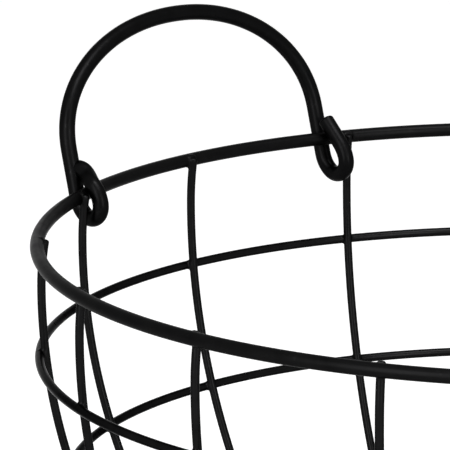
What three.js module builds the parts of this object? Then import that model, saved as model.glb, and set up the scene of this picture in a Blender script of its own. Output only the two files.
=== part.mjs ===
// Round wire fruit basket: a deep bowl of welded wires with two swinging handles.
// Millimetres, +Z up. The origin is under the middle of the bowl, on the surface it stands on.
// The handles are at -X and +X, and their hinge lines run along Y.
import * as THREE from 'three';

// Wires, as the bare steel measures across
const rimWire = 4.0;
const ribWire = 2.3;
const ringWire = 2.3;
const footWire = 4.0;
const handleWire = 4.7;
const weldGap = 0.3; // left between two wires that are welded where they cross

// Bowl, measured on the middle lines of the wires
const rimRadius = 163;
const bowlDepth = 150; // from the rim down to the ribs on the floor
const bellyDrop = 13.8; // from the rim down to where the ribs stand widest
const lipBendRadius = 44; // the ribs' bend above the widest level
const wallBendShare = 1.435; // the wall's bend radius as a share of the depth below the belly
const floorBendRadius = 30; // the ribs' bend from the wall to the floor
const ribTipRise = 1.2; // how far the ribs' cut ends stand above the rim's middle line
const ribCount = 16;

// Rings under the rim
const upperRingDrop = 35.5;
const middleRingDrop = 75.5;
const lowerRingShare = 0.5; // how far along the wall from the middle ring to the floor bend
const footInset = 2.5; // from the edge of the flat floor in to the foot ring
const centreRingRadius = 24;
const ribOverhang = 3; // how far the ribs run past the centre ring

// Handles
const handleRise = 51.4; // from the hinge line to the top of the arch
const archStart = 8; // height above the hinge line where the arch begins to bend
const archPower = 2.2; // 2 is an ellipse, more is squarer
const archWidening = 1.4; // how far each side of the arch stands out past the leg below it
const wideningHeight = 12; // over which the arch widens
const eyeClearance = 0.85; // between the rim and the sides of an eye
const eyeDrop = 5.2; // from the hinge line down to the middle of the eye's lower bend
const sideClearance = 0.5; // between a handle's leg and the rib beside it
const tipGap = 0.35; // between the bent-over end and the leg it is tucked against
const tipLean = THREE.MathUtils.degToRad(40);
const restLean = THREE.MathUtils.degToRad(16);

// Steps of the faceted wires
const thickSides = 8;
const thinSides = 6;
const rimSteps = 80;
const ringSteps = 64;
const centreSteps = 32;
const lipSteps = 3;
const wallSteps = 12;
const floorBendSteps = 4;
const floorSteps = 2;
const lowerBendSteps = 8;
const tipBendSteps = 3;
const straightSteps = 2;
const archSteps = 28;

// A wire's section is a polygon with the area of the round wire, so its weight is right.
function sectionCorner(wire, sides) {
  const sector = (2 * Math.PI) / sides;
  return (wire / 2) * Math.sqrt(sector / Math.sin(sector));
}

// Distance from a wire's middle line to the flats of its section.
function reach(wire, sides) {
  return sectionCorner(wire, sides) * Math.cos(Math.PI / sides);
}

// Corners of a section with one flat facing along the angle given.
function sectionPoints(wire, sides, facing) {
  const corner = sectionCorner(wire, sides);
  return Array.from({ length: sides }, (_, i) => {
    const angle = facing + ((i + 0.5) * 2 * Math.PI) / sides;
    return new THREE.Vector2(corner * Math.cos(angle), corner * Math.sin(angle));
  });
}

// Points along an arc, both ends included.
function arcPoints(centre, radius, from, to, steps) {
  return Array.from({ length: steps + 1 }, (_, i) => {
    const angle = from + ((to - from) * i) / steps;
    return new THREE.Vector2(centre.x + radius * Math.cos(angle), centre.y + radius * Math.sin(angle));
  });
}

// Points along a straight stretch, the far end included and the near one left out.
function straightPoints(from, to, steps) {
  return Array.from({ length: steps }, (_, i) => from.clone().lerp(to, (i + 1) / steps));
}

// A smooth path that is cut into steps at its own points, so bends can have finer steps.
class SteppedPath extends THREE.CatmullRomCurve3 {
  getUtoTmapping(u) {
    return u;
  }
}

const coatColour = 0x151516;

function wireMesh(name, geometry) {
  const material = new THREE.MeshStandardMaterial({ color: coatColour, roughness: 0.42, metalness: 0.1 });
  const mesh = new THREE.Mesh(geometry, material);
  mesh.name = name;
  return mesh;
}

function bentWire(points, wire, sides) {
  const section = new THREE.Shape(sectionPoints(wire, sides, Math.PI / 2));
  const extrudePath = new SteppedPath(points);
  return new THREE.ExtrudeGeometry(section, { steps: points.length - 1, extrudePath });
}

// A closed ring about Z. Its middle line lies at middle.x from the axis and middle.y above the ground.
function ringWireGeometry(middle, wire, sides, steps, facing) {
  const outline = sectionPoints(wire, sides, facing).map((corner) => corner.add(middle));
  outline.push(outline[0].clone());
  return new THREE.LatheGeometry(outline, steps).rotateX(Math.PI / 2);
}

// Heights of the middle lines. The foot ring stands on the ground and carries the ribs' floor.
const thinReach = reach(ribWire, thinSides);
const footReach = reach(footWire, thickSides);
const floorHeight = 2 * footReach + weldGap + thinReach;
const rimHeight = floorHeight + bowlDepth;
const bellyHeight = rimHeight - bellyDrop;

// Side view of one rib, with x as the distance from the basket's axis and y as the height:
// the lip bend touches the rim from inside, then come the wall bend, the floor bend and the floor.
const rimOffset = reach(rimWire, thickSides) + weldGap + thinReach;
const bellyRadius = rimRadius + lipBendRadius - Math.sqrt((lipBendRadius + rimOffset) ** 2 - bellyDrop ** 2);
const depthBelowBelly = bowlDepth - bellyDrop;
const wallBendRadius = wallBendShare * depthBelowBelly;
const lipCentre = new THREE.Vector2(bellyRadius - lipBendRadius, bellyHeight);
const wallCentre = new THREE.Vector2(bellyRadius - wallBendRadius, bellyHeight);
const floorBendHeight = floorHeight + floorBendRadius;
const wallToFloor = Math.asin((bellyHeight - floorBendHeight) / (wallBendRadius - floorBendRadius));
const floorRadius = wallCentre.x + (wallBendRadius - floorBendRadius) * Math.cos(wallToFloor);
const floorBendCentre = new THREE.Vector2(floorRadius, floorBendHeight);
const tipAngle = Math.asin((bellyDrop + ribTipRise) / lipBendRadius);

function ribPoints() {
  const lip = arcPoints(lipCentre, lipBendRadius, tipAngle, 0, lipSteps);
  const wall = arcPoints(wallCentre, wallBendRadius, 0, -wallToFloor, wallSteps);
  const floorBend = arcPoints(floorBendCentre, floorBendRadius, -wallToFloor, -Math.PI / 2, floorBendSteps);
  const innerEnd = new THREE.Vector2(centreRingRadius - ribOverhang, floorHeight);
  const floor = straightPoints(floorBend.at(-1), innerEnd, floorSteps);
  const sideView = [...lip, ...wall.slice(1), ...floorBend.slice(1), ...floor];
  return sideView.map((p) => new THREE.Vector3(p.x, 0, p.y));
}

function ribs() {
  const geometry = bentWire(ribPoints(), ribWire, thinSides);
  return Array.from({ length: ribCount }, (_, i) => {
    const rib = wireMesh(`rib_${String(i + 1).padStart(2, '0')}`, geometry);
    rib.rotation.z = (2 * Math.PI * i) / ribCount;
    return rib;
  });
}

// A ring that lies against the outside of the wall, at an angle below the belly seen from the wall's centre.
function wallRing(name, angle) {
  const outward = new THREE.Vector2(Math.cos(angle), -Math.sin(angle));
  const offset = thinReach + weldGap + reach(ringWire, thinSides);
  const middle = wallCentre.clone().addScaledVector(outward, wallBendRadius + offset);
  return wireMesh(name, ringWireGeometry(middle, ringWire, thinSides, ringSteps, Math.PI - angle));
}

function wallAngle(drop) {
  return Math.asin((drop - bellyDrop) / wallBendRadius);
}

function rings() {
  const rimMiddle = new THREE.Vector2(rimRadius, rimHeight);
  const rim = wireMesh('rim_ring', ringWireGeometry(rimMiddle, rimWire, thickSides, rimSteps, Math.PI));
  const middleAngle = wallAngle(middleRingDrop);
  const lowerAngle = THREE.MathUtils.lerp(middleAngle, wallToFloor, lowerRingShare);
  const footMiddle = new THREE.Vector2(floorRadius - footInset, footReach);
  const foot = wireMesh('foot_ring', ringWireGeometry(footMiddle, footWire, thickSides, ringSteps, Math.PI / 2));
  const centreHeight = floorHeight - thinReach - weldGap - reach(ringWire, thinSides);
  const centreMiddle = new THREE.Vector2(centreRingRadius, centreHeight);
  const centre = wireMesh('centre_ring', ringWireGeometry(centreMiddle, ringWire, thinSides, centreSteps, Math.PI / 2));
  return [
    rim,
    wallRing('upper_ring', wallAngle(upperRingDrop)),
    wallRing('middle_ring', middleAngle),
    wallRing('lower_ring', lowerAngle),
    foot,
    centre,
  ];
}

// A handle's eye, seen along its hinge line, with x outward and y up from the rim's middle line.
// It runs from the top of the leg down, under the rim, up inside it and over it to the tucked end.
const eyeRadius = (rimWire + handleWire) / 2 + eyeClearance;

function eyePoints() {
  const bendCentre = new THREE.Vector2(0, -eyeDrop);
  const legTop = new THREE.Vector2(eyeRadius, archStart);
  const lowerBend = arcPoints(bendCentre, eyeRadius, 0, -Math.PI, lowerBendSteps);
  const leg = straightPoints(legTop, lowerBend[0], straightSteps);
  const overBend = arcPoints(new THREE.Vector2(), eyeRadius, Math.PI, Math.PI - tipLean, tipBendSteps);
  const direction = new THREE.Vector2(Math.sin(tipLean), Math.cos(tipLean));
  const endReach = (handleWire / 2) * (1 + Math.cos(tipLean)) + tipGap;
  const run = (eyeRadius - endReach - overBend.at(-1).x) / direction.x;
  const tip = overBend.at(-1).clone().addScaledVector(direction, run);
  return [legTop, ...leg, ...lowerBend.slice(1), ...overBend, ...straightPoints(overBend.at(-1), tip, straightSteps)];
}

// The eyes stand just inside the tips of the two ribs beside the handle's middle rib,
// and the hinge line is the straight line between them where they go round the rim.
const ribTipSide = (lipCentre.x + lipBendRadius * Math.cos(tipAngle)) * Math.sin((2 * Math.PI) / ribCount);
const legSide = ribTipSide - sideClearance - ribWire / 2 - handleWire / 2;
const hingeOffset = Math.sqrt(rimRadius ** 2 - legSide ** 2);

function archPoint(angle) {
  const up = (handleRise - archStart) * Math.sin(angle) ** (2 / archPower);
  const halfWidth = legSide + archWidening * THREE.MathUtils.smoothstep(up, 0, wideningHeight);
  const across = Math.sign(Math.cos(angle)) * Math.abs(Math.cos(angle)) ** (2 / archPower);
  return new THREE.Vector3(eyeRadius, halfWidth * across, archStart + up);
}

function handlePoints() {
  const eye = (side) => eyePoints().map((p) => new THREE.Vector3(p.x, side * legSide, p.y));
  const arch = Array.from({ length: archSteps - 1 }, (_, i) => archPoint((Math.PI * (i + 1)) / archSteps));
  return [...eye(1).reverse(), ...arch, ...eye(-1)];
}

function handle(name, turn) {
  const swing = new THREE.Group();
  swing.position.set(hingeOffset, 0, rimHeight);
  swing.rotation.y = restLean;
  swing.add(wireMesh(name, bentWire(handlePoints(), handleWire, thickSides)));
  const side = new THREE.Group();
  side.rotation.z = turn;
  side.add(swing);
  return side;
}

const basket = new THREE.Group();
basket.add(...rings());
basket.add(...ribs());
basket.add(handle('left_handle', Math.PI));
basket.add(handle('right_handle', 0));

export default basket;
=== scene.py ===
import math

import bpy
import numpy as np
from mathutils import Matrix, Vector


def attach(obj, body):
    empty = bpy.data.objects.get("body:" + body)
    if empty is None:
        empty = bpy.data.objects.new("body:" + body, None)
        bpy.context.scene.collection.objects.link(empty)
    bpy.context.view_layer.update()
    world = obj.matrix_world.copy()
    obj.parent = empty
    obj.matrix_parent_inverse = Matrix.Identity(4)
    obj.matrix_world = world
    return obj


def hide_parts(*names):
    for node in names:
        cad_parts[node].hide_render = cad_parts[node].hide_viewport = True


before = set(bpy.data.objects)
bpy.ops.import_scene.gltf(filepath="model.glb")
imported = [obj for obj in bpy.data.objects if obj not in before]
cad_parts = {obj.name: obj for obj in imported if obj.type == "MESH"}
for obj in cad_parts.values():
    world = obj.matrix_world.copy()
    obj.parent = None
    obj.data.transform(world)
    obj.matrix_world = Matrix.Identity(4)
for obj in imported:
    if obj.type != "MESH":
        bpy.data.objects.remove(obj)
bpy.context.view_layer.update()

print("frame loaded:", len(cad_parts), "nodes")

# Wire widths and other lengths are in metres and measured over the coat.
wires = {
    "rimWidth": 0.0044,
    "ribWidth": 0.00274,
    "ringWidth": 0.00284,
    "footWidth": 0.0044,
    "handleWidth": 0.0053,
    "fillet": 0.0011,  # how far weld and coat run out into the corner of two wires
    "filletMost": 0.45,  # the furthest that a surface point moves out for it, as a share of it
    "filletRounds": 8,  # rounds in which that point is found
    "filletStep": 0.7,  # the share of what is missing that a round adds
    "weldReach": 0.003,  # how far from the other wire weld marks are found
    "denseReach": 0.0035,  # half the stretch at a crossing that gets close stations
    "denseGain": 9.0,  # how much closer the stations are there
    "fineSteps": 6000,  # places among which the stations are chosen
    "headingStep": 0.0002,  # a path's direction is taken over this length to either side
    "samePlace": 1e-7,  # points closer than this are one
    "edgeStations": 6,  # stations on the rounded edge of a cut end
    "flatShares": (0.35, 0.7, 0.97),  # circles on the flat of a cut end, as shares of its radius
    "edgeClear": 1.15,  # the other stations keep off a cut end by this many times its edge
}

# The bowl's side view, as in the frame.
bowl = {
    "ribCount": 16,
    "rimRadius": 0.163,
    "rimHeight": 0.15529,
    "floorHeight": 0.00529,
    "bellyRadius": 0.161713,
    "bellyDrop": 0.0138,
    "lipBend": 0.089,
    "wallBend": 0.195447,
    "floorBend": 0.030,
    "tipRise": 0.0012,
    "innerEnd": 0.021,  # where the ribs end on the floor
    "ribLean": {8: -0.3, 10: 0.35, 12: 0.5},  # degrees by which a rib was welded on out of place
    "ribExtra": {14: 0.0009},  # by which a rib's tip stands higher than the others
    "extraReach": 0.006,  # the length of the tip that is stretched for it
}

ribStep = 2 * math.pi / bowl["ribCount"]
ribAzimuths = ribStep * np.arange(bowl["ribCount"])
for ribNumber, degrees in bowl["ribLean"].items():
    ribAzimuths[ribNumber - 1] += math.radians(degrees)
bellyHeight = bowl["rimHeight"] - bowl["bellyDrop"]
lipCentre = np.array([bowl["bellyRadius"] - bowl["lipBend"], bellyHeight])
wallCentre = np.array([bowl["bellyRadius"] - bowl["wallBend"], bellyHeight])
tipAngle = math.asin((bowl["bellyDrop"] + bowl["tipRise"]) / bowl["lipBend"])
floorBendHeight = bowl["floorHeight"] + bowl["floorBend"]
wallEnd = math.asin((bellyHeight - floorBendHeight) / (bowl["wallBend"] - bowl["floorBend"]))
floorCentre = wallCentre + (bowl["wallBend"] - bowl["floorBend"]) * np.array([math.cos(wallEnd), -math.sin(wallEnd)])
ribArcs = [  # centre, radius, first and last angle
    (lipCentre, bowl["lipBend"], tipAngle, 0.0),
    (wallCentre, bowl["wallBend"], 0.0, -wallEnd),
    (floorCentre, bowl["floorBend"], -wallEnd, -math.pi / 2),
]


# An arc is centre + radius * (cos angle, sin angle), from one angle to another.
def arcPoints(centre, radius, first, last, count=500):
    angle = np.linspace(first, last, count)
    return np.stack([centre[0] + radius * np.cos(angle), centre[1] + radius * np.sin(angle)], axis=1)


# Length along a row of points, from its first point.
def lengthAlong(points):
    steps = np.linalg.norm(np.diff(points, axis=0), axis=1)
    return np.concatenate([[0.0], np.cumsum(steps)])


# The same row without repeats: a point less than samePlace from the one before is left out.
def withoutRepeats(points):
    steps = np.linalg.norm(np.diff(points, axis=0), axis=1)
    return points[np.concatenate([[True], steps > wires["samePlace"]])]


# Points and directions at given lengths along a row of points: straight interpolation for the points, and
# (point ahead - point behind) / its length for the directions.
def sampleRow(points, at):
    along = lengthAlong(points)
    step = wires["headingStep"]
    place, ahead, behind = [
        np.stack([np.interp(at + shift, along, column) for column in points.T], axis=1) for shift in (0, step, -step)
    ]
    heading = ahead - behind
    return place, heading / np.linalg.norm(heading, axis=1, keepdims=True)


# A smooth step from 0 to 1: t^2 (3 - 2 t).
def smoothStep(t):
    return t ** 2 * (3 - 2 * t)


# Stations stand closer where wires cross. Their density is 1 + gain * exp(-(distance to the crossing / reach)^4),
# summed over the crossings, and equal shares of its sum give the places.
def stationPlaces(first, last, count, crossings, reach):
    fine = np.linspace(first, last, wires["fineSteps"])
    bells = np.exp(-(((fine[:, None] - np.asarray(crossings)[None, :]) / reach) ** 4)).sum(axis=1)
    density = 1 + wires["denseGain"] * bells
    total = np.concatenate([[0.0], np.cumsum((density[1:] + density[:-1]) / 2)])
    return np.interp(np.linspace(0, total[-1], count), total, fine)


# Distance from points to a ring: hypot(distance from the axis - radius, height - ring height) - wire radius.
def ringDistance(points, radius, height, wireRadius):
    fromAxis = np.hypot(points[..., 0], points[..., 1])
    return np.hypot(fromAxis - radius, points[..., 2] - height) - wireRadius


# Distance to the nearest rib: the azimuth is taken from that rib's own, the distance to its arcs and
# straight run is taken in its own plane, and the distance from that plane is added squared.
def ribDistance(points):
    azimuth = np.arctan2(points[..., 1], points[..., 0])
    nearest = np.mod(np.rint(azimuth / ribStep).astype(int), bowl["ribCount"])
    folded = np.mod(azimuth - ribAzimuths[nearest] + math.pi, 2 * math.pi) - math.pi
    fromAxis = np.hypot(points[..., 0], points[..., 1])
    x, offPlane, z = fromAxis * np.cos(folded), fromAxis * np.sin(folded), points[..., 2]
    squared = np.full(x.shape, np.inf)
    for centre, radius, first, last in ribArcs:
        angle = np.clip(np.arctan2(z - centre[1], x - centre[0]), min(first, last), max(first, last))
        nearX, nearZ = centre[0] + radius * np.cos(angle), centre[1] + radius * np.sin(angle)
        squared = np.minimum(squared, (x - nearX) ** 2 + (z - nearZ) ** 2)
    onFloor = np.clip(x, bowl["innerEnd"], floorCentre[0])
    squared = np.minimum(squared, (x - onFloor) ** 2 + (z - bowl["floorHeight"]) ** 2)
    return np.sqrt(squared + offPlane ** 2) - wires["ribWidth"] / 2


# The weld and the coat fill the corner between two wires. Each surface point moves outward by t until
# smoothMin(t, distance to the other wire) = 0, where smoothMin(a, b) = min(a, b) - max(k - |a - b|, 0)^2 / 4k.
def filletSwell(points, outward, otherDistance):
    k = wires["fillet"]
    swell = np.zeros(points.shape[:-1])
    for _ in range(wires["filletRounds"]):
        other = otherDistance(points + swell[..., None] * outward)
        shared = np.maximum(k - np.abs(swell - other), 0)
        value = np.minimum(swell, other) - shared ** 2 / (4 * k)
        swell = np.clip(swell - wires["filletStep"] * value, 0, wires["filletMost"] * k)
    return swell


# A wire is a circle carried along a path:
# point(s, a) = path(s) + (radius(s) + swell) * (cos a * out(s) + sin a * side(s)), where side = heading x out.
# Open wires close in a pole at each end. Two attributes go with the points: wireSpace is
# (radius cos a, radius sin a, length along), and weldNear falls from 1 on the other wire to 0 at weldReach.
def wireObject(name, body, node, path, heading, out, along, radius, around, closed, otherDistance=None):
    side = np.cross(heading, out)
    angle = np.linspace(0, 2 * math.pi, around, endpoint=False)
    outward = np.cos(angle)[None, :, None] * out[:, None, :] + np.sin(angle)[None, :, None] * side[:, None, :]
    reach = np.broadcast_to(np.asarray(radius, float).reshape(-1, 1), (len(path), around)).copy()
    points = path[:, None, :] + reach[..., None] * outward
    weldNear = np.zeros((len(path), around))
    if otherDistance is not None:
        swell = filletSwell(points, outward, otherDistance)
        points = points + swell[..., None] * outward
        weldNear = np.clip(1 - otherDistance(points) / wires["weldReach"], 0, 1)
    wireSpace = np.stack(
        [reach * np.cos(angle), reach * np.sin(angle), np.broadcast_to(along[:, None], reach.shape)], axis=-1
    )

    stations = len(path)
    i, j = np.meshgrid(np.arange(stations if closed else stations - 1), np.arange(around), indexing="ij")
    nextI, nextJ = (i + 1) % stations, (j + 1) % around
    corners = [i * around + j, i * around + nextJ, nextI * around + nextJ, nextI * around + j]
    quads = np.stack(corners, axis=-1).reshape(-1, 4)
    quadUv = np.stack(
        [
            np.stack([i, i, i + 1, i + 1], axis=-1) / stations,
            np.stack([j, j + 1, j + 1, j], axis=-1) / around,
        ],
        axis=-1,
    ).reshape(-1, 4, 2)
    vertices = points.reshape(-1, 3)
    spaces, nearness = wireSpace.reshape(-1, 3), weldNear.reshape(-1)
    faces, uv = quads.tolist(), quadUv.reshape(-1, 2)
    if not closed:
        first, last = len(vertices), len(vertices) + 1
        ring = np.arange(around)
        nextRing = (ring + 1) % around
        end = (stations - 1) * around
        firstFan = np.stack([np.full(around, first), nextRing, ring], axis=1)
        lastFan = np.stack([np.full(around, last), end + ring, end + nextRing], axis=1)
        vertices = np.concatenate([vertices, path[:1], path[-1:]])
        spaces = np.concatenate([spaces, [[0, 0, along[0]], [0, 0, along[-1]]]])
        nearness = np.concatenate([nearness, [0.0, 0.0]])
        faces += firstFan.tolist() + lastFan.tolist()
        fanUv = np.stack([np.repeat([0.0, 1.0], around * 3), np.tile([0.5, 1.0, 0.0], around * 2)], axis=1)
        uv = np.concatenate([uv, fanUv])

    mesh = bpy.data.meshes.new(name)
    mesh.from_pydata(vertices.tolist(), [], faces)
    mesh.uv_layers.new(name="wireUv").data.foreach_set("uv", uv.astype(np.float32).ravel())
    spaceLayer = mesh.attributes.new("wireSpace", "FLOAT_VECTOR", "POINT")
    spaceLayer.data.foreach_set("vector", spaces.astype(np.float32).ravel())
    nearLayer = mesh.attributes.new("weldNear", "FLOAT", "POINT")
    nearLayer.data.foreach_set("value", nearness.astype(np.float32))
    mesh.shade_smooth()
    mesh.validate()
    piece = bpy.data.objects.new(name, mesh)
    bpy.context.scene.collection.objects.link(piece)
    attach(piece, body)
    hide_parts(node)
    return piece


# Places and radii along an open wire. Its cut ends are flat, with a quarter round of radius e for an edge:
# at distance e (1 - cos q) from the end the wire's radius is r - e + e sin q.
def endedRadius(length, radius, edge, places):
    q = np.linspace(0, math.pi / 2, wires["edgeStations"])
    flat = np.array(wires["flatShares"]) * (radius - edge)
    capPlaces = np.concatenate([np.zeros(len(flat)), edge * (1 - np.cos(q))])
    capRadius = np.concatenate([flat, radius - edge + edge * np.sin(q)])
    clear = edge * wires["edgeClear"]
    inner = places[(places > clear) & (places < length - clear)]
    allPlaces = np.concatenate([capPlaces, inner, length - capPlaces[::-1]])
    allRadius = np.concatenate([capRadius, np.full(len(inner), radius), capRadius[::-1]])
    return allPlaces, allRadius


# Rings: the rim, three on the wall, one to stand on and one in the middle of the floor.
ringPlan = {
    "upperDrop": 0.0355,  # how far under the rim a ring meets the wall
    "middleDrop": 0.0755,
    "lowerShare": 0.5,  # of the way along the wall from the middle ring to the floor bend
    "footInset": 0.0025,  # how far inside the floor bend's centre the foot ring runs
    "centreRadius": 0.024,
    "sink": 0.00085,  # how deep ring and rib are pressed into each other by the weld
    "stations": 832,
    "thinAround": 18,  # points around a thin and a thick ring's wire
    "thickAround": 28,
}


# Where a wall ring's drop lies on the wall: asin((drop - belly drop) / wall bend), down from the belly.
def wallAngle(drop):
    return math.asin((drop - bowl["bellyDrop"]) / bowl["wallBend"])


# A wall ring lies against the outside of the ribs: from the wall's centre it is away by
# wall bend + half of both wires - sink.
def wallRing(angle):
    reach = bowl["wallBend"] + (wires["ribWidth"] + wires["ringWidth"]) / 2 - ringPlan["sink"]
    return wallCentre[0] + reach * math.cos(angle), wallCentre[1] - reach * math.sin(angle)


upperAngle, middleAngle = wallAngle(ringPlan["upperDrop"]), wallAngle(ringPlan["middleDrop"])
lowerAngle = middleAngle + ringPlan["lowerShare"] * (wallEnd - middleAngle)

rings = {
    "rim_ring": {
        "radius": bowl["rimRadius"],
        "height": bowl["rimHeight"],
        "width": wires["rimWidth"],
        "around": ringPlan["thickAround"],
    },
    "foot_ring": {
        "radius": floorCentre[0] - ringPlan["footInset"],
        "height": wires["footWidth"] / 2,
        "width": wires["footWidth"],
        "around": ringPlan["thickAround"],
    },
    "centre_ring": {
        "radius": ringPlan["centreRadius"],
        "height": bowl["floorHeight"] - (wires["ribWidth"] + wires["ringWidth"]) / 2 + ringPlan["sink"],
        "width": wires["ringWidth"],
        "around": ringPlan["thinAround"],
    },
}
for node, angle in (("upper_ring", upperAngle), ("middle_ring", middleAngle), ("lower_ring", lowerAngle)):
    radius, height = wallRing(angle)
    rings[node] = {
        "radius": radius,
        "height": height,
        "width": wires["ringWidth"],
        "around": ringPlan["thinAround"],
    }


# rim_ring becomes rimRing: the first word stays, and each later one gets a capital.
def pieceName(node):
    words = node.split("_")
    return words[0] + "".join(word.capitalize() for word in words[1:])


# A ring's path is (R cos p, R sin p, h), with its first station half way between two ribs.
def ringPiece(node, ring):
    crossings = np.append(ribAzimuths, 2 * math.pi)
    reach = wires["denseReach"] / ring["radius"]
    first = -ribStep / 2
    azimuth = stationPlaces(first, 2 * math.pi + first, ringPlan["stations"] + 1, crossings, reach)[:-1]
    out = np.stack([np.cos(azimuth), np.sin(azimuth), np.zeros_like(azimuth)], axis=1)
    heading = np.stack([-np.sin(azimuth), np.cos(azimuth), np.zeros_like(azimuth)], axis=1)
    path = ring["radius"] * out + np.array([0, 0, ring["height"]])
    along = ring["radius"] * azimuth
    return wireObject(
        pieceName(node), "bowl", node, path, heading, out, along, ring["width"] / 2, ring["around"], True, ribDistance
    )


pieces = {node: ringPiece(node, ring) for node, ring in rings.items()}
print("rings made:", len(rings))

ribs = {
    "stations": 300,
    "around": 18,
    "cutEdge": 0.0008,  # rounding of the cut ends
}


# Distance to the nearest ring: the least of the distances to each.
def ringsDistance(points):
    distances = [ringDistance(points, ring["radius"], ring["height"], ring["width"] / 2) for ring in rings.values()]
    return np.min(distances, axis=0)


ribFoot = [[bowl["innerEnd"], bowl["floorHeight"]]]
sideView = withoutRepeats(np.concatenate([arcPoints(*arc) for arc in ribArcs] + [ribFoot]))
ribLength = lengthAlong(sideView)[-1]


# Where along the rib it passes nearest to a ring. The rings under the floor are met on its straight run,
# at whole length - (ring radius - inner end).
def crossingPlace(ring):
    if ring["height"] < bowl["floorHeight"]:
        return ribLength - (ring["radius"] - bowl["innerEnd"])
    gap = np.hypot(sideView[:, 0] - ring["radius"], sideView[:, 1] - ring["height"])
    return lengthAlong(sideView)[np.argmin(gap)]


ribCrossings = [crossingPlace(ring) for ring in rings.values()]
ribPlaces, ribRadius = endedRadius(
    ribLength,
    wires["ribWidth"] / 2,
    ribs["cutEdge"],
    stationPlaces(0, ribLength, ribs["stations"], ribCrossings, wires["denseReach"]),
)
sidePath, sideHeading = sampleRow(sideView, ribPlaces)


# A rib lies in the upright plane at its azimuth p: (x cos p, x sin p, z) for each (x, z) of the side view.
# An extra tip is moved back along the rib's own direction by extra * (1 - length from the tip / extraReach).
def ribPiece(number):
    azimuth = ribAzimuths[number]
    outward = np.array([math.cos(azimuth), math.sin(azimuth), 0])
    across = np.array([-math.sin(azimuth), math.cos(azimuth), 0])
    upright = np.array([0, 0, 1.0])
    heading = sideHeading[:, :1] * outward + sideHeading[:, 1:] * upright
    stretch = bowl["ribExtra"].get(number + 1, 0) * np.clip(1 - ribPlaces / bowl["extraReach"], 0, 1)
    path = sidePath[:, :1] * outward + sidePath[:, 1:] * upright - stretch[:, None] * heading
    out = np.broadcast_to(across, path.shape)
    node = f"rib_{number + 1:02d}"
    return wireObject(
        pieceName(node), "bowl", node, path, heading, out, ribPlaces, ribRadius, ribs["around"], False, ringsDistance
    )


for number in range(bowl["ribCount"]):
    pieces[f"rib_{number + 1:02d}"] = ribPiece(number)
print("ribs made:", bowl["ribCount"])

# Handles, made upright in x outward, y along the hinge line and z up from it.
handles = {
    "rise": 0.053175,  # top of the arch over the hinge line
    "archStart": 0.0145,  # where the straight legs end and the arch begins
    "archPower": 2.062,
    "side": 0.0573,  # from the middle to a leg
    "legOffset": 0.00506,  # how far outside the hinge line the legs stand
    "legBend": 0.009,  # bend radii of the eye, from the leg round under the rim to its tip
    "legTurn": math.radians(44),
    "bottomBend": 0.00455,
    "tipBend": 0.005,
    "lean": math.radians(16.2),
    "hingeOffset": 0.152755,  # from the bowl's axis to the hinge line
    "cutEdge": 0.0008,
    "stations": 460,
    "around": 32,
    "linkPoints": 120,  # points on each link of an eye, and on the arch
    "archPoints": 2001,
    "evenSteps": 4000,  # even steps that the whole middle line is laid out in
    "smoothing": 0.0024,  # the length over which bends run into each other
    "turnStart": -0.002,  # height where the reference direction begins to turn, and how far it goes on
    "turnReach": 0.010,
    "tipReach": 0.020,  # the stretch at each end in which it doesn't turn
}
# The two eyes were bent one by one: the height where the leg begins to turn, the straight run up from the bottom,
# the bend over the rim with its radius and angle, the run to the tip and its last turn against the leg.
# The inner half stands off the rim inward and aside, and the tip by its own amounts.
eyes = {
    "front": {
        "start": -0.0011,
        "upright": 0.0005,
        "bend": 0.0094,
        "lean": math.radians(37),
        "run": 0.0056,
        "hook": math.radians(46),
        "end": 0.0008,
        "standOff": (0.0016, -0.0014),
        "tipOff": (-0.0002, 0.0012),
    },
    "back": {
        "start": -0.0017,
        "upright": 0.0,
        "bend": 0.0115,
        "lean": math.radians(29),
        "run": 0.0102,
        "hook": 0.0,
        "end": 0.0,
        "standOff": (0.0031, -0.0030),
        "tipOff": (0.0031, -0.0030),
    },
}
# The loose left handle has slid, dropped and tilted a little on the rim. The right one hangs evenly.
handleStances = {
    "left_handle": {
        "slide": 0.0007,
        "inward": 0.0005,
        "drop": 0.00147,
        "roll": math.radians(-1.63),
        "yaw": math.radians(0.35),
        "frontEye": "front",
        "frontAside": 1,
        "flip": (-1, 1, 1),
    },
    "right_handle": {
        "slide": 0.0,
        "inward": 0.0002,
        "drop": 0.0012,
        "roll": 0.0,
        "yaw": 0.0,
        "frontEye": "back",
        "frontAside": -1,
        "flip": (1, -1, 1),
    },
}


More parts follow.
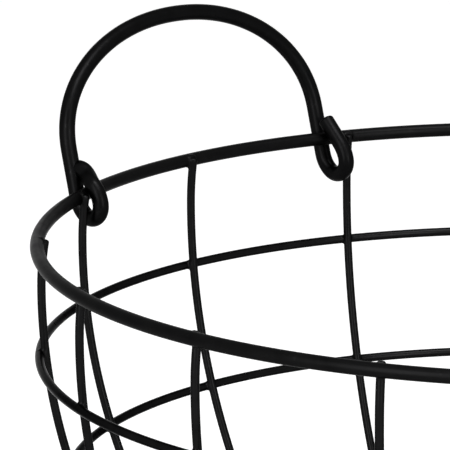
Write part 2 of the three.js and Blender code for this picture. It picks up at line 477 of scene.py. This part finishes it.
# The eye's profile in x and z is a chain of straight runs and arcs, from the leg down, under the rim and back
# over it. Heading angle a stands for the direction (-sin a, -cos a), and an arc of radius r turns about
# place - r (cos a, -sin a). Over each link the offset (inward, aside) goes from the last link's to its own by a
# smooth step. With asideSign -1 aside points the other way.
def eyePath(eye, y, asideSign):
    place, heading, offset = np.array([handles["legOffset"], handles["archStart"]]), 0.0, np.zeros(2)
    none, standOff, tipOff = np.zeros(2), np.array(eye["standOff"]), np.array(eye["tipOff"])
    rows = []
    chain = [
        (None, handles["archStart"] - eye["start"], none),
        (handles["legBend"], handles["legTurn"], none),
        (handles["bottomBend"], math.pi - handles["legTurn"], standOff),
        (None, eye["upright"], standOff),
        (eye["bend"], eye["lean"], standOff),
        (None, eye["run"], tipOff),
        (handles["tipBend"], eye["hook"], tipOff),
        (None, eye["end"], tipOff),
    ]
    for radius, amount, offsetAfter in chain:
        t = np.linspace(0, 1, handles["linkPoints"])
        if radius is None:
            run = place - amount * t[:, None] * np.array([math.sin(heading), math.cos(heading)])
        else:
            centre = place - radius * np.array([math.cos(heading), -math.sin(heading)])
            turned = heading + amount * t
            run = centre + radius * np.stack([np.cos(turned), -np.sin(turned)], axis=1)
            heading += amount
        place = run[-1]
        offsets = offset + (offsetAfter - offset) * smoothStep(t)[:, None]
        offset = offsetAfter
        rows.append(np.stack([run[:, 0] - offsets[:, 0], y + asideSign * offsets[:, 1], run[:, 1]], axis=1))
    return np.concatenate(rows)


# The arch is a superellipse over the legs: y = side * |cos q|^(2/n), z = start + (rise - start) * (sin q)^(2/n).
def archPath():
    q = np.linspace(0, math.pi, handles["archPoints"])[1:-1]
    up = (handles["rise"] - handles["archStart"]) * np.sin(q) ** (2 / handles["archPower"])
    across = handles["side"] * np.sign(np.cos(q)) * np.abs(np.cos(q)) ** (2 / handles["archPower"])
    return np.stack([np.full(len(q), handles["legOffset"]), across, handles["archStart"] + up], axis=1)


# The whole middle line: the back eye from its tip up, the arch, and the front eye down to its tip. It is laid out
# in even steps, and each point is then the mean of those within half the smoothing length. The row is carried on
# past its ends by turning it about them, which leaves them where they are.
def handlePath(stance):
    back = eyePath(eyes["back"], handles["side"], 1)[::-1]
    front = eyePath(eyes[stance["frontEye"]], -handles["side"], stance["frontAside"])
    points = withoutRepeats(np.concatenate([back, archPath(), front]))
    length = lengthAlong(points)[-1]
    even, _ = sampleRow(points, np.linspace(0, length, handles["evenSteps"] + 1))
    window = max(3, int(handles["smoothing"] / (length / handles["evenSteps"])) | 1)
    padded = np.pad(even, ((window // 2, window // 2), (0, 0)), mode="reflect", reflect_type="odd")
    kernel = np.ones(window) / window
    return np.stack([np.convolve(padded[:, k], kernel, mode="valid") for k in range(3)], axis=1)


# Roll about the outward line, then the lean about the hinge line, then the yaw about the upright, each as a plane
# rotation (u cos - v sin, u sin + v cos). Places are then moved to the hinge, and directions are not.
def stand(vectors, stance, isPlace):
    roll, yaw, lean = stance["roll"], stance["yaw"], handles["lean"]
    x, y, z = vectors.T
    y, z = y * math.cos(roll) - z * math.sin(roll), y * math.sin(roll) + z * math.cos(roll)
    x, z = x * math.cos(lean) + z * math.sin(lean), z * math.cos(lean) - x * math.sin(lean)
    x, y = x * math.cos(yaw) - y * math.sin(yaw), x * math.sin(yaw) + y * math.cos(yaw)
    if isPlace:
        x = x + handles["hingeOffset"] - stance["inward"]
        y = y + stance["slide"]
        z = z + bowl["rimHeight"] - stance["drop"]
    return np.stack([x, y, z], axis=1)


# A handle is the wire along its middle line, stood in its stance and mirrored to its own side of the bowl.
# out = reference x heading, where the reference direction lies along the hinge line in the eyes and outward in the
# arch, and turns from one to the other in the legs.
def handlePiece(node, stance):
    rough = handlePath(stance)
    length = lengthAlong(rough)[-1]
    places, radius = endedRadius(
        length, wires["handleWidth"] / 2, handles["cutEdge"], np.linspace(0, length, handles["stations"])
    )
    path, heading = sampleRow(rough, places)
    turn = np.clip((path[:, 2] - handles["turnStart"]) / handles["turnReach"], 0, 1)
    turn = smoothStep(np.where(np.minimum(places, length - places) < handles["tipReach"], 0, turn))
    reference = np.stack([turn, 1 - turn, np.zeros_like(turn)], axis=1)
    out = np.cross(reference, heading)
    out = out / np.linalg.norm(out, axis=1, keepdims=True)
    path, heading, out = stand(path, stance, True), stand(heading, stance, False), stand(out, stance, False)
    flip = np.array(stance["flip"])
    path, heading, out = path * flip, heading * flip, out * flip
    return wireObject(pieceName(node), node, node, path, heading, out, places, radius, handles["around"], False)


for node, stance in handleStances.items():
    pieces[node] = handlePiece(node, stance)
print("handles made:", len(handleStances))

# What the coats have in common. Scales are per metre.
coatTexture = {
    "pebbleShare": 0.35,  # shares of fine pebbles and slow swell in the grain's height
    "swellShare": 0.65,
    "lineSqueeze": 0.02,  # how much slower the die lines change along the wire than across it
    "patchScale": 420.0,
    "patchRange": (0.58, 0.74),  # noise between which a rubbed patch sets in
    "markScale": 900.0,
    "toneRange": (0.3, 0.7),  # tone over which the roughness goes through its range
    "rubbedRoughness": -0.10,  # added to the roughness where the coat is rubbed, and at weld marks
    "weldRoughness": 0.08,
    "weldHeight": 1.5,  # height of weld marks, where the grain's is 1
    "bumpDepth": 0.00006,
}


# A node group with the sockets (label, kind, value) going in and (label, kind) coming out.
def newGroup(name, inputs, outputs):
    group = bpy.data.node_groups.new(name, "ShaderNodeTree")
    for label, kind, value in inputs:
        socket = group.interface.new_socket(name=label, in_out="INPUT", socket_type=kind)
        if value is not None:
            socket.default_value = value
    for label, kind in outputs:
        group.interface.new_socket(name=label, in_out="OUTPUT", socket_type=kind)
    return group, group.nodes.new("NodeGroupInput"), group.nodes.new("NodeGroupOutput")


# A new node with each of its settings set.
def addNode(tree, kind, **settings):
    node = tree.nodes.new(kind)
    for key, value in settings.items():
        setattr(node, key, value)
    return node


# Constants on a node's own input sockets.
def setSockets(node, **values):
    for key, value in values.items():
        node.inputs[key].default_value = value


# Fine pebbling of a baked powder coat, with a slow swell under it: height = pebbleShare * fine noise
# + swellShare * slow noise, from 0 to 1, and tone = slow noise.
def makeCoatGrain():
    group, source, result = newGroup(
        "coatGrain",
        [
            ("Position", "NodeSocketVector", None),
            ("Pebbles", "NodeSocketFloat", 1400.0),
            ("Swell", "NodeSocketFloat", 160.0),
        ],
        [("Height", "NodeSocketFloat"), ("Tone", "NodeSocketFloat")],
    )
    pebbles = addNode(group, "ShaderNodeTexNoise")
    setSockets(pebbles, Detail=2.0, Roughness=0.5)
    swell = addNode(group, "ShaderNodeTexNoise")
    setSockets(swell, Detail=3.0, Roughness=0.6)
    group.links.new(source.outputs["Position"], pebbles.inputs["Vector"])
    group.links.new(source.outputs["Position"], swell.inputs["Vector"])
    group.links.new(source.outputs["Pebbles"], pebbles.inputs["Scale"])
    group.links.new(source.outputs["Swell"], swell.inputs["Scale"])
    mix = addNode(group, "ShaderNodeMath", operation="MULTIPLY_ADD")
    mix.inputs[1].default_value = coatTexture["pebbleShare"]
    group.links.new(pebbles.outputs["Fac"], mix.inputs[0])
    soft = addNode(group, "ShaderNodeMath", operation="MULTIPLY")
    soft.inputs[1].default_value = coatTexture["swellShare"]
    group.links.new(swell.outputs["Fac"], soft.inputs[0])
    group.links.new(soft.outputs[0], mix.inputs[2])
    group.links.new(mix.outputs[0], result.inputs["Height"])
    group.links.new(swell.outputs["Fac"], result.inputs["Tone"])
    return group


# Faint die lines of the drawn wire that show through the coat: noise stretched far along the wire.
def makeDrawLines():
    group, source, result = newGroup(
        "drawLines",
        [("Wire space", "NodeSocketVector", None), ("Lines", "NodeSocketFloat", 2600.0)],
        [("Height", "NodeSocketFloat")],
    )
    squeeze = addNode(group, "ShaderNodeVectorMath", operation="MULTIPLY")
    squeeze.inputs[1].default_value = (1.0, 1.0, coatTexture["lineSqueeze"])
    noise = addNode(group, "ShaderNodeTexNoise")
    setSockets(noise, Detail=2.0, Roughness=0.45)
    group.links.new(source.outputs["Wire space"], squeeze.inputs[0])
    group.links.new(squeeze.outputs[0], noise.inputs["Vector"])
    group.links.new(source.outputs["Lines"], noise.inputs["Scale"])
    group.links.new(noise.outputs["Fac"], result.inputs["Height"])
    return group


# Handling marks: small scattered patches where the coat is rubbed smoother and greyer, and dust beside welds.
# Rubbed = amount * smooth step of the patches' noise, and weld mark = weldNear * the marks' noise.
def makeCoatWear():
    group, source, result = newGroup(
        "coatWear",
        [
            ("Position", "NodeSocketVector", None),
            ("Weld near", "NodeSocketFloat", 0.0),
            ("Amount", "NodeSocketFloat", 0.5),
        ],
        [("Rubbed", "NodeSocketFloat"), ("Weld mark", "NodeSocketFloat")],
    )
    patches = addNode(group, "ShaderNodeTexNoise")
    setSockets(patches, Scale=coatTexture["patchScale"], Detail=4.0, Roughness=0.65)
    rubbed = addNode(group, "ShaderNodeMapRange", interpolation_type="SMOOTHSTEP")
    setsIn, whole = coatTexture["patchRange"]
    setSockets(rubbed, **{"From Min": setsIn, "From Max": whole})
    marks = addNode(group, "ShaderNodeTexNoise")
    setSockets(marks, Scale=coatTexture["markScale"], Detail=3.0, Roughness=0.6)
    scale = addNode(group, "ShaderNodeMath", operation="MULTIPLY")
    weld = addNode(group, "ShaderNodeMath", operation="MULTIPLY")
    group.links.new(source.outputs["Position"], patches.inputs["Vector"])
    group.links.new(source.outputs["Position"], marks.inputs["Vector"])
    group.links.new(patches.outputs["Fac"], rubbed.inputs["Value"])
    group.links.new(rubbed.outputs["Result"], scale.inputs[0])
    group.links.new(source.outputs["Amount"], scale.inputs[1])
    group.links.new(source.outputs["Weld near"], weld.inputs[0])
    group.links.new(marks.outputs["Fac"], weld.inputs[1])
    group.links.new(scale.outputs[0], result.inputs["Rubbed"])
    group.links.new(weld.outputs[0], result.inputs["Weld mark"])
    return group


coatGrain, drawLines, coatWear = makeCoatGrain(), makeDrawLines(), makeCoatWear()


# A coat's colour goes from dark to light with the grain's tone and to rubbedColour where it is rubbed.
# Roughness = its range by the tone + rubbedRoughness * rubbed + weldRoughness * weld mark.
# Height = grain + lineShare * lines + weldHeight * weld mark.
def makeCoat(name, look):
    material = bpy.data.materials.new(name)
    material.use_nodes = True
    tree = material.node_tree
    shader = tree.nodes["Principled BSDF"]
    shader.inputs["Metallic"].default_value = 1.0
    shader.inputs["Specular Tint"].default_value = (*look["edgeTint"], 1)  # keeps the edges of a wire dark
    place = addNode(tree, "ShaderNodeTexCoord")
    wireSpace = addNode(tree, "ShaderNodeAttribute", attribute_name="wireSpace")
    weldNear = addNode(tree, "ShaderNodeAttribute", attribute_name="weldNear")
    grain = addNode(tree, "ShaderNodeGroup", node_tree=coatGrain)
    setSockets(grain, Pebbles=look["pebbles"], Swell=look["swell"])
    lines = addNode(tree, "ShaderNodeGroup", node_tree=drawLines)
    setSockets(lines, Lines=look["lines"])
    wear = addNode(tree, "ShaderNodeGroup", node_tree=coatWear)
    setSockets(wear, Amount=look["wear"])
    link = tree.links.new
    link(place.outputs["Object"], grain.inputs["Position"])
    link(wireSpace.outputs["Vector"], lines.inputs["Wire space"])
    link(place.outputs["Object"], wear.inputs["Position"])
    link(weldNear.outputs["Fac"], wear.inputs["Weld near"])

    base = addNode(tree, "ShaderNodeMix", data_type="RGBA")
    base.inputs["A"].default_value = (*look["dark"], 1)
    base.inputs["B"].default_value = (*look["light"], 1)
    worn = addNode(tree, "ShaderNodeMix", data_type="RGBA")
    worn.inputs["B"].default_value = (*look["rubbedColour"], 1)
    link(grain.outputs["Tone"], base.inputs["Factor"])
    link(base.outputs["Result"], worn.inputs["A"])
    link(wear.outputs["Rubbed"], worn.inputs["Factor"])
    link(worn.outputs["Result"], shader.inputs["Base Color"])

    rough = addNode(tree, "ShaderNodeMapRange")
    (toneLow, toneHigh), (smoothest, roughest) = coatTexture["toneRange"], look["roughness"]
    setSockets(rough, **{"From Min": toneLow, "From Max": toneHigh, "To Min": smoothest, "To Max": roughest})
    smoother = addNode(tree, "ShaderNodeMath", operation="MULTIPLY_ADD")
    smoother.inputs[1].default_value = coatTexture["rubbedRoughness"]
    weldRough = addNode(tree, "ShaderNodeMath", operation="MULTIPLY_ADD")
    weldRough.inputs[1].default_value = coatTexture["weldRoughness"]
    link(grain.outputs["Tone"], rough.inputs["Value"])
    link(wear.outputs["Rubbed"], smoother.inputs[0])
    link(rough.outputs["Result"], smoother.inputs[2])
    link(wear.outputs["Weld mark"], weldRough.inputs[0])
    link(smoother.outputs[0], weldRough.inputs[2])
    link(weldRough.outputs[0], shader.inputs["Roughness"])

    height = addNode(tree, "ShaderNodeMath", operation="MULTIPLY_ADD")
    height.inputs[1].default_value = look["lineShare"]
    marked = addNode(tree, "ShaderNodeMath", operation="MULTIPLY_ADD")
    marked.inputs[1].default_value = coatTexture["weldHeight"]
    bump = addNode(tree, "ShaderNodeBump")
    setSockets(bump, Strength=look["bump"], Distance=coatTexture["bumpDepth"])
    link(lines.outputs["Height"], height.inputs[0])
    link(grain.outputs["Height"], height.inputs[2])
    link(wear.outputs["Weld mark"], marked.inputs[0])
    link(height.outputs[0], marked.inputs[2])
    link(marked.outputs[0], bump.inputs["Height"])
    link(bump.outputs["Normal"], shader.inputs["Normal"])
    return material


# Pebbles, swell and lines are scales per metre, and wear and bump are strengths from 0 to 1.
coats = {
    "thickCoat": {
        "dark": (0.0040, 0.0040, 0.0041),
        "light": (0.0082, 0.0082, 0.0084),
        "rubbedColour": (0.0140, 0.0140, 0.0143),
        "edgeTint": (0.55, 0.55, 0.55),
        "roughness": (0.34, 0.44),
        "pebbles": 1500.0,
        "swell": 150.0,
        "lines": 2200.0,
        "lineShare": 0.15,
        "wear": 0.35,
        "bump": 0.35,
    },
    "thinCoat": {
        "dark": (0.0050, 0.0050, 0.0051),
        "light": (0.0102, 0.0102, 0.0104),
        "rubbedColour": (0.0140, 0.0140, 0.0143),
        "edgeTint": (0.46, 0.46, 0.46),
        "roughness": (0.25, 0.34),
        "pebbles": 1800.0,
        "swell": 200.0,
        "lines": 3000.0,
        "lineShare": 0.25,
        "wear": 0.25,
        "bump": 0.35,
    },
    "handleCoat": {
        "dark": (0.0035, 0.0035, 0.0036),
        "light": (0.0070, 0.0070, 0.0072),
        "rubbedColour": (0.0135, 0.0135, 0.0138),
        "edgeTint": (0.50, 0.50, 0.50),
        "roughness": (0.31, 0.41),
        "pebbles": 1400.0,
        "swell": 130.0,
        "lines": 2000.0,
        "lineShare": 0.15,
        "wear": 0.55,
        "bump": 0.35,
    },
}
materials = {name: makeCoat(name, look) for name, look in coats.items()}


# The handles have a coat of their own, the rim and the foot ring share one, and all thin wires another.
def coatOf(node):
    if "handle" in node:
        return materials["handleCoat"]
    return materials["thickCoat" if node in ("rim_ring", "foot_ring") else "thinCoat"]


for node, piece in pieces.items():
    piece.data.materials.append(coatOf(node))
    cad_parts[node].data.materials.clear()
    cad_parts[node].data.materials.append(coatOf(node))
print("materials made:", len(materials))

stage = {
    "floorSize": 14.0,
    "floorColour": (0.8, 0.8, 0.8, 1),
    "floorGlow": 0.6,  # seen by the camera and in reflections, so that the floor reads white
    "farGlow": 0.95,  # the same far out, where the lamps no longer reach
    "glowSteps": (0.8, 2.6),  # distances from the middle between which one turns into the other
    "worldGlow": 1.0,  # the world as the camera and reflections see it, and as a light
    "worldLight": 0.06,
    "lampAim": (0.0, 0.0, 0.08),
}


# One value for camera, glossy and transmission rays, and another for the rest: other + (seen - other) * the
# greatest of the three flags.
def seenRays(tree, seenValue, otherValue):
    rays = addNode(tree, "ShaderNodeLightPath")
    glossy = addNode(tree, "ShaderNodeMath", operation="MAXIMUM")
    seen = addNode(tree, "ShaderNodeMath", operation="MAXIMUM")
    value = addNode(tree, "ShaderNodeMapRange")
    setSockets(value, **{"To Min": otherValue, "To Max": seenValue})
    tree.links.new(rays.outputs["Is Camera Ray"], glossy.inputs[0])
    tree.links.new(rays.outputs["Is Glossy Ray"], glossy.inputs[1])
    tree.links.new(glossy.outputs[0], seen.inputs[0])
    tree.links.new(rays.outputs["Is Transmission Ray"], seen.inputs[1])
    tree.links.new(seen.outputs[0], value.inputs["Value"])
    return value.outputs["Result"]


# A pale square that takes the lamps' light and the shadow. Added to it for seen rays only is a glow, which goes
# from floorGlow to farGlow by a smooth step of the distance from the middle.
def makeFloor():
    half = stage["floorSize"] / 2
    mesh = bpy.data.meshes.new("floor")
    mesh.from_pydata([(-half, -half, 0), (half, -half, 0), (half, half, 0), (-half, half, 0)], [], [(0, 1, 2, 3)])
    floor = bpy.data.objects.new("floor", mesh)
    bpy.context.scene.collection.objects.link(floor)
    material = bpy.data.materials.new("floorWhite")
    material.use_nodes = True
    tree = material.node_tree
    shader = tree.nodes["Principled BSDF"]
    shader.inputs["Base Color"].default_value = stage["floorColour"]
    shader.inputs["Roughness"].default_value = 1.0
    shader.inputs["Specular IOR Level"].default_value = 0.0
    glow = addNode(tree, "ShaderNodeEmission")
    place = addNode(tree, "ShaderNodeTexCoord")
    distance = addNode(tree, "ShaderNodeVectorMath", operation="LENGTH")
    level = addNode(tree, "ShaderNodeMapRange", interpolation_type="SMOOTHSTEP")
    near, far = stage["glowSteps"]
    setSockets(level, **{"From Min": near, "From Max": far, "To Min": stage["floorGlow"], "To Max": stage["farGlow"]})
    strength = addNode(tree, "ShaderNodeMath", operation="MULTIPLY")
    both = addNode(tree, "ShaderNodeAddShader")
    tree.links.new(place.outputs["Object"], distance.inputs[0])
    tree.links.new(distance.outputs["Value"], level.inputs["Value"])
    tree.links.new(level.outputs["Result"], strength.inputs[0])
    tree.links.new(seenRays(tree, 1.0, 0.0), strength.inputs[1])
    tree.links.new(strength.outputs[0], glow.inputs["Strength"])
    tree.links.new(shader.outputs[0], both.inputs[0])
    tree.links.new(glow.outputs[0], both.inputs[1])
    tree.links.new(both.outputs[0], tree.nodes["Material Output"].inputs["Surface"])
    mesh.materials.append(material)


# A white world: its strength is worldGlow for seen rays and worldLight for all others.
def makeWorld():
    world = bpy.data.worlds.new("studio")
    bpy.context.scene.world = world
    world.use_nodes = True
    background = world.node_tree.nodes["Background"]
    background.inputs["Color"].default_value = (1, 1, 1, 1)
    strength = seenRays(world.node_tree, stage["worldGlow"], stage["worldLight"])
    world.node_tree.links.new(strength, background.inputs["Strength"])


# Two tall soft boxes, one to either side of the camera, and one above. Azimuth and height are angles in degrees
# at the aim, distance, width and length are in metres, and power is in watts.
lamps = {
    "leftBox": {"azimuth": 278, "height": 22, "distance": 2.2, "width": 0.6, "length": 2.0, "power": 27.0},
    "rightBox": {"azimuth": 350, "height": 17, "distance": 2.2, "width": 0.55, "length": 1.6, "power": 20.0},
    "topBox": {"azimuth": 350, "height": 72, "distance": 2.4, "width": 1.3, "length": 0.9, "power": 38.0},
}


# A lamp stands at aim + distance * (cos h cos a, cos h sin a, sin h) and faces the aim.
def makeLamp(name, lamp):
    light = bpy.data.lights.new(name, "AREA")
    light.shape = "RECTANGLE"
    light.size = lamp["width"]
    light.size_y = lamp["length"]
    light.energy = lamp["power"]
    azimuth, height = math.radians(lamp["azimuth"]), math.radians(lamp["height"])
    towards = -Vector((math.cos(height) * math.cos(azimuth), math.cos(height) * math.sin(azimuth), math.sin(height)))
    place = Vector(stage["lampAim"]) - lamp["distance"] * towards
    holder = bpy.data.objects.new(name, light)
    holder.matrix_world = Matrix.Translation(place) @ towards.to_track_quat("-Z", "Y").to_matrix().to_4x4()
    bpy.context.scene.collection.objects.link(holder)


makeFloor()
makeWorld()
for name, lamp in lamps.items():
    makeLamp(name, lamp)

view = {
    "place": (1.046784, -1.221229, 0.552472),
    "aim": (-0.077754, -0.069673, 0.159735),
    "roll": math.radians(0.095),
    "lens": 423.25,
    "sensor": 36.0,
    "clip": (0.01, 100.0),
}


# The camera stands at place, looks at aim, and is rolled about that line.
def makeCamera():
    camera = bpy.data.cameras.new("camera")
    camera.lens = view["lens"]
    camera.sensor_width = view["sensor"]
    camera.clip_start, camera.clip_end = view["clip"]
    holder = bpy.data.objects.new("camera", camera)
    towards = Vector(view["aim"]) - Vector(view["place"])
    turned = towards.to_track_quat("-Z", "Y").to_matrix() @ Matrix.Rotation(view["roll"], 3, "Z")
    holder.matrix_world = Matrix.Translation(view["place"]) @ turned.to_4x4()
    bpy.context.scene.collection.objects.link(holder)
    bpy.context.scene.camera = holder


makeCamera()
bpy.context.scene.view_settings.view_transform = "Standard"
print("stage, lamps and camera made")
